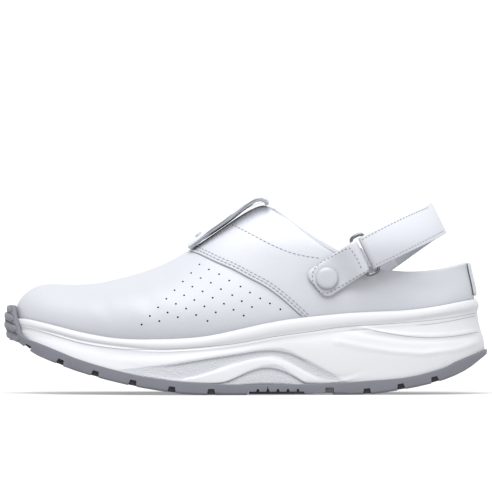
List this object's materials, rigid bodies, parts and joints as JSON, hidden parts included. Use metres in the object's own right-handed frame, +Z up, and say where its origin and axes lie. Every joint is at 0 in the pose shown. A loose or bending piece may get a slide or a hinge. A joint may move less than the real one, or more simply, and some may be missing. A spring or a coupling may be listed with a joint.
{
  "type": "antistatic work clog",
  "caption": "White leather work clog with a closed toe, a heel strap held by snaps and wire rings, and a thick rocker sole with a grey lugged outsole.",
  "frame": {"origin": "on the floor under the middle of the shoe's box", "axes": "+Z up, -X towards the toe, -Y towards the outer side"},
  "size_m": [0.28, 0.1024, 0.1156],
  "materials": {
    "leather": "smooth white full-grain leather, satin",
    "midsole_foam": "moulded white foam, satin, stippled in the arch relief",
    "outsole_rubber": "moulded grey rubber, matt",
    "insole_cover": "light grey textile cover",
    "elastic": "dark woven elastic",
    "cap_plastic": "smooth white plastic",
    "ring_metal": "dark polished wire"
  },
  "bodies": {
    "root": {"upper": "leather", "midsole": "midsole_foam", "outsole": "outsole_rubber", "insole": "insole_cover", "instep_tab": "leather", "backstay": "leather", "gusset": "elastic", "tab_stud": "cap_plastic", "anchor_lateral": "leather", "anchor_medial": "leather", "heel_strap": "leather", "snap_lateral": "cap_plastic", "snap_medial": "cap_plastic", "ring_lateral": "ring_metal", "ring_medial": "ring_metal"}
  },
  "joints": []
}
